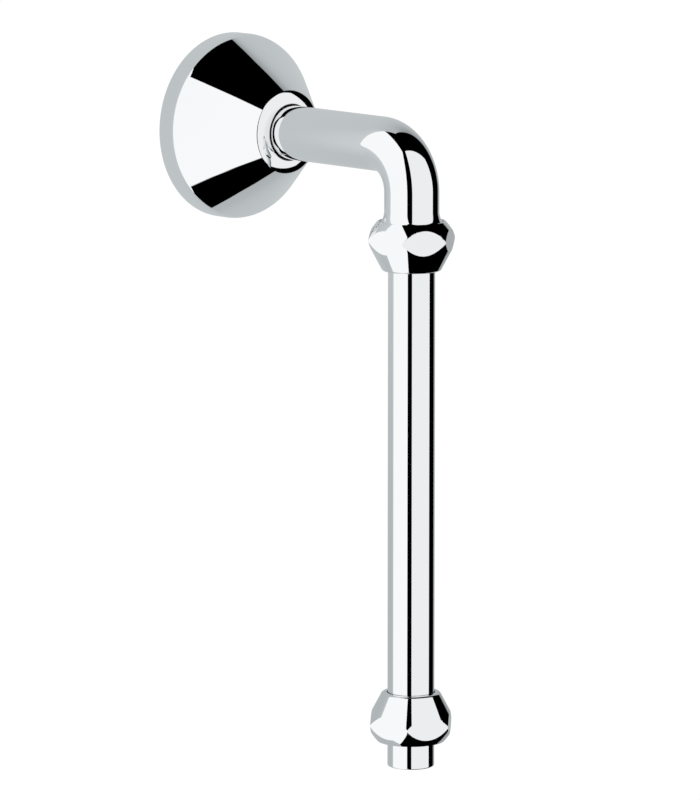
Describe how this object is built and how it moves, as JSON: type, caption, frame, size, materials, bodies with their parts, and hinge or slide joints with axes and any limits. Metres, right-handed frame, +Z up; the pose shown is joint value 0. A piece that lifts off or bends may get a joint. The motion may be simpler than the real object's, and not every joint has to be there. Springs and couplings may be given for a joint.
{
  "type": "outlet elbow",
  "caption": "Chrome-plated outlet elbow for an exposed flush pipe: bent tube out of the wall, sliding conical wall cover, hexagonal union nuts and a straight hanging pipe.",
  "frame": {"origin": "on the axis of the tube, in the plane of the wall", "axes": "+Z up, +Y into the wall along the tube, the pipe hangs along -Z"},
  "size_m": [0.0724, 0.1372, 0.2755],
  "materials": {
    "chrome_plate": "mirror chrome plating on brass",
    "black_rubber": "matt moulded rubber",
    "white_polymer": "smooth natural acetal"
  },
  "bodies": {
    "elbow_and_pipe": {"outlet_elbow": "chrome_plate", "upper_nut": "chrome_plate", "upper_slip_ring": "white_polymer", "upper_seal": "black_rubber", "flush_pipe": "chrome_plate"},
    "sliding_cover": {"wall_cover": "chrome_plate", "cover_grip_ring": "black_rubber"},
    "lower_seal_set": {"lower_slip_ring": "white_polymer", "lower_seal": "black_rubber"},
    "loose_nut": {"lower_nut": "chrome_plate"}
  },
  "joints": [
    {"name": "cover_slide", "type": "slide", "parent": "elbow_and_pipe", "child": "sliding_cover", "axis": [0, -1, 0], "range_m": [0, 0.05]},
    {"name": "nut_slide", "type": "slide", "parent": "elbow_and_pipe", "child": "lower_seal_set", "axis": [0, 0, 1], "range_m": [-0.009, 0.16]},
    {"name": "nut_spin", "type": "hinge", "parent": "lower_seal_set", "child": "loose_nut", "pos_m": [0, -0.105, -0.2198], "axis": [0, 0, 1], "continuous": true}
  ]
}
